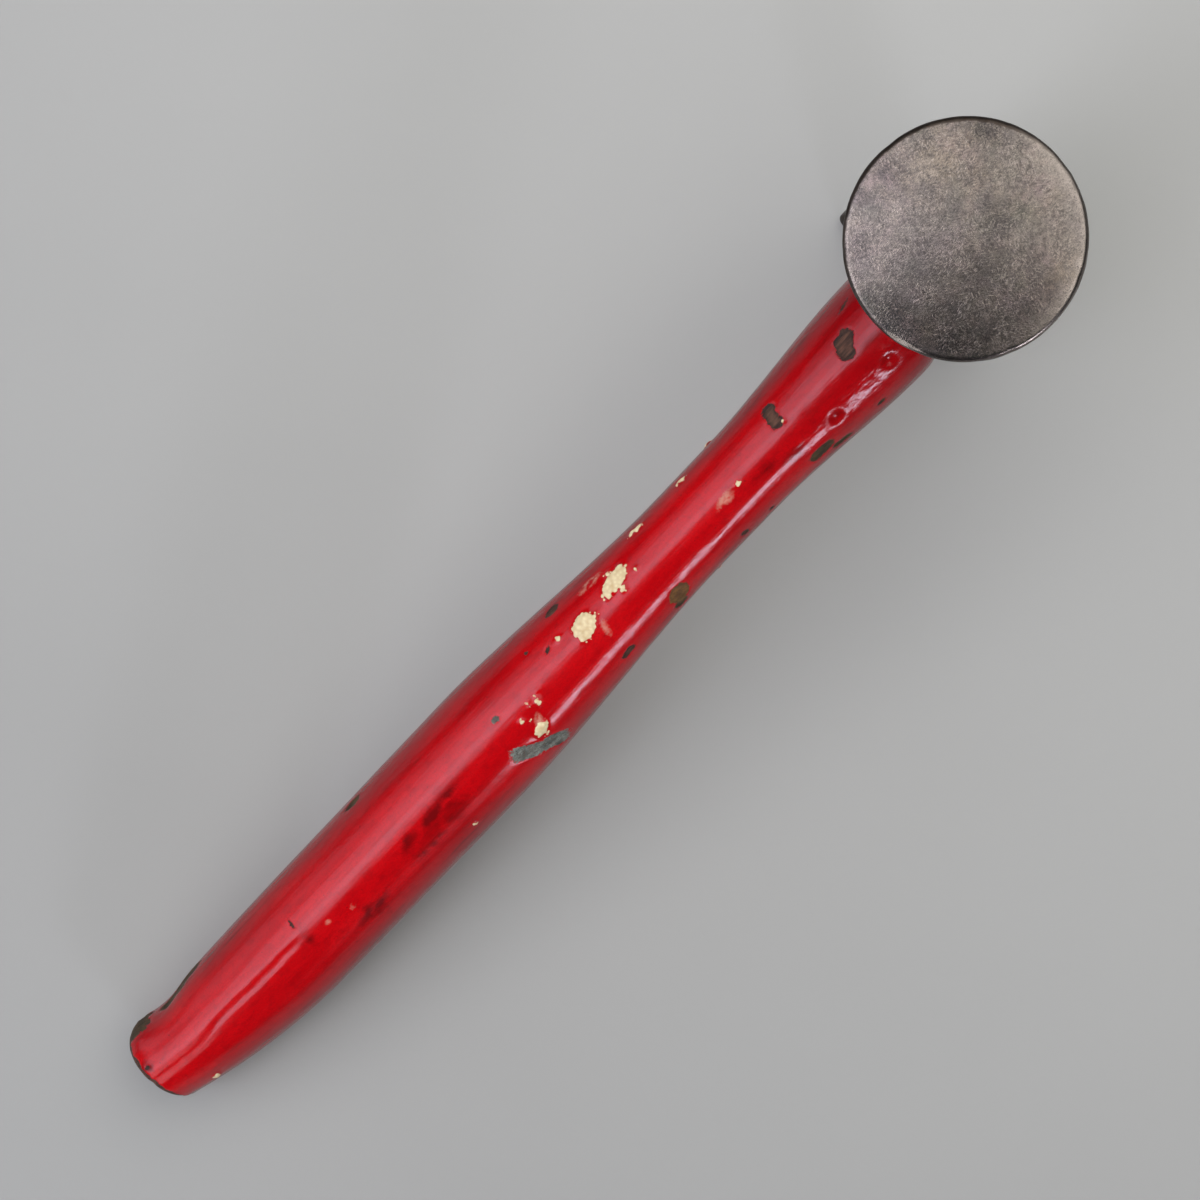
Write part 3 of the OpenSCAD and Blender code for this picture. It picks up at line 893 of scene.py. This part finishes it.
# %% Scratches, pits and patches
steel = new_material("worn_forged_steel")
in_tool = tool_frame(steel)
# Real scratches and pits are finer. These are as coarse as they need to be to show.
steel_patterns = {
    "patch": (6, 6, 0.7), "mottle": (1.1, 4, 0.6), "pit": (0.28, 3, 0.6), "group": (4, 2, 0.5),
}
stroke_sizes, stroke_angles = (0.65, 0.23, 0.4), (8, -40, 65)

pattern = {}
for name, (size_mm, detail, roughness) in steel_patterns.items():
    pattern[name] = add(steel, "TexNoise", {
        "Vector": in_tool, "Scale": 1 / size_mm, "Detail": detail, "Roughness": roughness,
    })
patches, patch_tint = pattern["patch"][:2]
mottle, pit = pattern["mottle"][0], pattern["pit"][0]
groups = add(steel, "SeparateColor", {"Color": pattern["group"][1]})
strokes = furrows = 0
for angle, group in zip(stroke_angles, groups):
    turned = add(steel, "Mapping", {
        "Vector": in_tool, "Rotation": (0, 0, math.radians(angle)), "Scale": stroke_sizes,
    }, vector_type="TEXTURE")[0]
    lines = add(steel, "TexNoise", {"Vector": turned, "Scale": 1, "Detail": 1})[0]
    line = add(steel, "MapRange", {"Value": lines, "From Min": 0.55, "From Max": 0.75})[0]
    here = add(steel, "MapRange", {"Value": group, "From Min": 0.4, "From Max": 0.6, "To Min": 0.2})[0]
    stroke = add(steel, "Math", {0: line, 1: here}, operation="MULTIPLY")[0]
    strokes = add(steel, "Math", {0: strokes, 1: stroke}, operation="MAXIMUM")[0]
    gap = add(steel, "MapRange", {"Value": lines, "From Min": 0.48, "From Max": 0.3})[0]
    furrow = add(steel, "Math", {0: gap, 1: here}, operation="MULTIPLY")[0]
    furrows = add(steel, "Math", {0: furrows, 1: furrow}, operation="MAXIMUM")[0]
print(len(stroke_angles), "directions of scratches")

# %% Colours of the face and of the forged skin
written = {}
share = {}
for name in ("polish", "worn", "damp", "tan", "pale"):
    written[name] = add(steel, "Attribute", {}, attribute_name=name)["Fac"]
damp_pits = add(steel, "Math", {0: written["damp"], 1: 0.25, 2: pit}, operation="MULTIPLY_ADD")[0]
for name, source, low, high, most in (
    ("patched", patches, 0.36, 0.64, 1), ("dark", mottle, 0.55, 0.35, 0.6),
    ("damp", damp_pits, 0.62, 0.77, 0.85), ("pitted", pit, 0.46, 0.3, 0.6),
    ("glinting", pit, 0.52, 0.7, 0.5), ("rusty", pit, 0.58, 0.75, 0.6),
):
    share[name] = add(steel, "MapRange", {
        "Value": source, "From Min": low, "From Max": high, "To Max": most,
    })[0]
# The rubbed share brightens worn steel and paints the highlight on one side of the face's rim.
uneven = add(steel, "MapRange", {"Value": share["patched"], "To Min": 0.45})[0]
for name, first, second in (
    ("tan", written["tan"], mottle), ("pale", written["pale"], mottle), ("bright", strokes, 0.5),
    ("furrowed", furrows, 0.6), ("rubbed_and_highlit", written["worn"], uneven),
):
    share[name] = add(steel, "Math", {0: first, 1: second}, operation="MULTIPLY")[0]
face = add(steel, "Mix", {
    FACTOR: share["patched"], COLOUR_A: colour("#57514f"), COLOUR_B: colour("#817873"),
}, data_type="RGBA")[COLOUR]
face = add(steel, "Mix", {
    FACTOR: 0.2, COLOUR_A: face, COLOUR_B: patch_tint,
}, data_type="RGBA", blend_type="OVERLAY")[COLOUR]
for name, code in (
    ("tan", "#887865"), ("pale", "#8d847e"), ("dark", "#4c4746"), ("furrowed", "#3f3b3a"),
    ("bright", "#a69c94"), ("glinting", "#958b84"), ("rubbed_and_highlit", "#a59b95"), ("damp", "#302e30"),
    ("pitted", "#2e2a29"),
):
    face = add(steel, "Mix", {
        FACTOR: share[name], COLOUR_A: face, COLOUR_B: colour(code),
    }, data_type="RGBA")[COLOUR]
forged = add(steel, "Mix", {
    FACTOR: share["patched"], COLOUR_A: colour("#2c2623"), COLOUR_B: colour("#4f4742"),
}, data_type="RGBA")[COLOUR]
for name, code in (("rusty", "#5a3826"), ("rubbed_and_highlit", "#968e89")):
    forged = add(steel, "Mix", {
        FACTOR: share[name], COLOUR_A: forged, COLOUR_B: colour(code),
    }, data_type="RGBA")[COLOUR]
print(len(steel.node_tree.nodes), "nodes so far")

# %% Shine of the steel
face_rough, forged_rough = 0.26, 0.43
scratch_mm, pit_depth_mm, pit_bump = 0.01, 0.03, 0.5

metal = add(steel, "Mix", {
    FACTOR: written["polish"], COLOUR_A: forged, COLOUR_B: face,
}, data_type="RGBA")[COLOUR]
smooth = add(steel, "Math", {0: written["polish"], 1: share["rubbed_and_highlit"]}, operation="MAXIMUM")[0]
rough = add(steel, "Mix", {0: smooth, 2: forged_rough, 3: face_rough}, data_type="FLOAT")[0]
scratched = add(steel, "Bump", {"Strength": 1, "Distance": scratch_mm * MM, "Height": strokes})[0]
dented = add(steel, "Bump", {
    "Strength": pit_bump, "Distance": pit_depth_mm * MM, "Height": pit, "Normal": scratched,
})[0]
shader = add(steel, "BsdfPrincipled", {
    "Base Color": metal, "Metallic": 1.0, "Roughness": rough, "Normal": dented,
})[0]
add(steel, "OutputMaterial", {"Surface": shader})
dress(head, steel)
print(steel.name, "has", len(steel.node_tree.nodes), "nodes")

# %% [markdown]
# ## The wedges
# The wooden wedge is hardwood, browned by age, with its grain along its length. The steel wedges are
# rusty where damp got to them. Both are CAD nodes, so they only get a material.

# %% Aged hardwood
wedge_wood = new_material("aged_hardwood_wedge")
grain_sizes = (10, 0.4, 0.4)
stretched = add(wedge_wood, "Mapping", {
    "Vector": tool_frame(wedge_wood), "Scale": grain_sizes,
}, vector_type="TEXTURE")[0]
grain = add(wedge_wood, "TexNoise", {"Vector": stretched, "Scale": 1, "Detail": 4})[0]
aged = add(wedge_wood, "Mix", {
    FACTOR: grain, COLOUR_A: colour("#3d2818"), COLOUR_B: colour("#8f6a45"),
}, data_type="RGBA")[COLOUR]
shader = add(wedge_wood, "BsdfPrincipled", {"Base Color": aged, "Roughness": matt})[0]
add(wedge_wood, "OutputMaterial", {"Surface": shader})
dress(frame["nodes"]["wooden_wedge"], wedge_wood)
print("The wooden wedge has a grain", grain_sizes[1], "mm wide")

# %% Steel dulled by rust
wedge_steel = new_material("rust_dulled_steel")
rust_mm, rusty_rough, bare_rough = 1.2, 0.65, 0.4
rust = add(wedge_steel, "TexNoise", {
    "Vector": tool_frame(wedge_steel), "Scale": 1 / rust_mm, "Detail": 5, "Roughness": 0.65,
})[0]
rust_share = add(wedge_steel, "MapRange", {"Value": rust, "From Min": 0.35, "From Max": 0.65})[0]
dulled = add(wedge_steel, "Mix", {
    FACTOR: rust_share, COLOUR_A: colour("#5a4436"), COLOUR_B: colour("#a09892"),
}, data_type="RGBA")[COLOUR]
rough = add(wedge_steel, "MapRange", {"Value": rust, "To Min": rusty_rough, "To Max": bare_rough})[0]
shader = add(wedge_steel, "BsdfPrincipled", {"Base Color": dulled, "Metallic": 1.0, "Roughness": rough})[0]
add(wedge_steel, "OutputMaterial", {"Surface": shader})
for name in ("steel_wedge_face_side", "steel_wedge_peen_side"):
    dress(frame["nodes"][name], wedge_steel)
print("The wedges wear", wedge_wood.name, "and", wedge_steel.name)

# %% [markdown]
# ## The floor
# The hammer lies on pale grey paper, faintly cloudy. Its colour is a little paler beyond the head and
# greyer towards the butt: painted light fall-off. Near the hammer the paper is lit and keeps its shadow.
# Far away it would sink into the dark, so there the camera, and any mirror, sees a plain pale grey
# instead, which blends into the same grey of the world.

# %% Pale paper that fades into the background
def rays_seen(owner):
    """1 for a ray from the camera, and 1 for a ray that a mirror or glass sends on."""
    rays = add(owner, "LightPath", {})
    mirrored = add(owner, "Math", {
        0: rays["Is Glossy Ray"], 1: rays["Is Transmission Ray"],
    }, operation="MAXIMUM")[0]
    return rays["Is Camera Ray"], mirrored


pale = colour("#b0b1b2")
fade_from, fade_to, paper_size = 0.7, 2, 8
pale_end, grey_end = -0.16, 0.12
cloud_mm, cloud_share, paper_rough = 62.5, 0.2, 0.9
bpy.ops.object.select_all(action="DESELECT")
bpy.ops.mesh.primitive_plane_add(size=paper_size)
floor = bpy.context.object
floor.name = "floor"
bench = new_material("pale_grey_paper")
place = add(bench, "TexCoord", {})["Object"]
clouds = add(bench, "TexNoise", {"Vector": place, "Scale": 1 / (cloud_mm * MM), "Detail": 3})[0]
# From pale_end to grey_end along X the colour darkens: painted light fall-off.
along_paper = add(bench, "SeparateXYZ", {0: place})[0]
light_falloff = add(bench, "MapRange", {"Value": along_paper, "From Min": pale_end, "From Max": grey_end})[0]
tone = add(bench, "Math", {0: clouds, 1: cloud_share, 2: light_falloff}, operation="MULTIPLY_ADD")[0]
paper_and_falloff = add(bench, "Mix", {
    FACTOR: tone, COLOUR_A: colour("#bbbcbb"), COLOUR_B: colour("#a6a7a6"),
}, data_type="RGBA")[COLOUR]
lit = add(bench, "BsdfPrincipled", {"Base Color": paper_and_falloff, "Roughness": paper_rough})[0]
plain = add(bench, "Emission", {"Color": pale})[0]
distance = add(bench, "VectorMath", {0: place}, operation="LENGTH")["Value"]
far_share = add(bench, "MapRange", {"Value": distance, "From Min": fade_from, "From Max": fade_to})[0]
by_camera, mirrored = rays_seen(bench)
seen = add(bench, "Math", {0: by_camera, 1: mirrored}, operation="MAXIMUM")[0]
fade = add(bench, "Math", {0: far_share, 1: seen}, operation="MULTIPLY")[0]
surface = add(bench, "MixShader", {0: fade, 1: lit, 2: plain})[0]
add(bench, "OutputMaterial", {"Surface": surface})
dress(floor, bench)
print("The paper fades from", fade_from, "to", fade_to, "m")

# %% [markdown]
# ## The light
# Gloss shows the room around it, so the lamps are placed by what the highlights tell. Three softboxes
# side by side above the left of the handle, the brightest nearest to it, make the broad pink band and
# show in the face too. A card low on the left lets the band end softly. A wide lamp beyond the head,
# where no gloss of the handle points, gives most of the light on the paper and shows in the far side of
# the face. A small low lamp on the right makes the thin line, and one beyond the butt picks out the flat
# on the rim. A little light from all around fills the shadows. The camera sees the pale background
# everywhere, mirrors see it only as far up as the horizon.

# %% The world
horizon_band = 0.03
world = bpy.data.worlds.new("soft_fill")
bpy.context.scene.world = world
world.use_nodes = True
world.node_tree.nodes.clear()
by_camera, mirrored = rays_seen(world)
way = add(world, "TexCoord", {})["Generated"]
upward = add(world, "SeparateXYZ", {0: way})[2]
near_horizon = add(world, "MapRange", {"Value": upward, "From Min": horizon_band, "From Max": 0})[0]
in_mirror = add(world, "Math", {0: mirrored, 1: near_horizon}, operation="MULTIPLY")[0]
seen = add(world, "Math", {0: by_camera, 1: in_mirror}, operation="MAXIMUM")[0]
around = add(world, "Mix", {
    FACTOR: seen, COLOUR_A: colour("#3a3a3c"), COLOUR_B: pale,
}, data_type="RGBA")[COLOUR]
sky = add(world, "Background", {"Color": around})[0]
add(world, "OutputWorld", {"Surface": sky})
print("Mirrors see the pale grey to a slope of", horizon_band, "above the horizon")


# %% The lamps, each with its place, target, sizes in m, brightness and tint
def add_softbox(name, place, target, size_x, size_y, radiance, tint="#ffffff"):
    """A flat lamp that faces its target. Its power follows from its size and how bright it looks."""
    bpy.ops.object.light_add(type="AREA", location=place)
    lamp = bpy.context.object
    lamp.name = name
    lamp.data.shape = "RECTANGLE"
    lamp.data.size = size_x
    lamp.data.size_y = size_y
    lamp.data.energy = radiance * math.pi * size_x * size_y
    lamp.data.color = colour(tint)[:3]
    lamp.rotation_euler = (Vector(target) - Vector(place)).to_track_quat("-Z", "Y").to_euler()
    print(f"{name}: {lamp.data.energy:.2f} W")


def way_to(azimuth, height):
    """Direction towards a lamp, from its angle about Z and above the bench, in degrees."""
    level = math.cos(math.radians(height))
    a = math.radians(azimuth)
    return Vector((level * math.cos(a), level * math.sin(a), math.sin(math.radians(height))))


bluish, warm = "#f5f5ff", "#fffdf7"
add_softbox("strip_softbox", (0.9, -0.195, 0.79), (0.9, -0.195, 0), 1.6, 0.27, 1.62, bluish)
add_softbox("key_softbox", (0.9, -0.44, 0.8), (0.9, -0.44, 0), 1.6, 0.82, 1.45, bluish)
add_softbox("wide_softbox", (1.02, -0.85, 0.82), (1.02, -0.85, 0), 1.36, 1.7, 0.8, bluish)
add_softbox("side_card", way_to(-51, 15) * 1.6, (0.08, 0, 0.02), 0.55, 0.45, 0.95, bluish)
add_softbox("far_softbox", (-0.6, -0.12, 0.85), (-0.6, -0.12, 0), 1.44, 1.3, 1.72, warm)
add_softbox("low_lamp", way_to(71.3, 25) * 1.3, (0, 0, 0.03), 0.25, 0.15, 21, bluish)
add_softbox("edge_lamp", way_to(8, 23) * 1.2, (-0.1, 0, 0.11), 0.35, 0.4, 2)

# %% [markdown]
# ## The camera
# The photo looks almost straight down. Its place, its lens and its roll were fitted to points of the
# hammer that are seen in the photo. Roll turns the picture, so that the handle runs from the upper right
# to the lower left.

# %% Camera at the photo's angle
camera_place = Vector((-11.72, -10.29, 524.49)) * MM
camera_target = Vector((-10.72, -0.96, 0)) * MM
camera_roll = math.radians(133.36)
lens_mm, sensor_mm = 75.63, 36
bpy.ops.object.camera_add(location=camera_place)
camera = bpy.context.object
camera.data.sensor_width = sensor_mm
camera.data.lens = lens_mm
back = (camera_place - camera_target).normalized()
right = Vector((-math.sin(camera_roll), math.cos(camera_roll), 0)).cross(back).normalized()
up = back.cross(right)
camera.matrix_world = Matrix.Translation(camera_place) @ Matrix((right, up, back)).transposed().to_4x4()
bpy.context.scene.camera = camera
bpy.context.scene.view_settings.view_transform = "Standard"
print(f"The camera is {(camera_place - camera_target).length / MM:.0f} mm away")
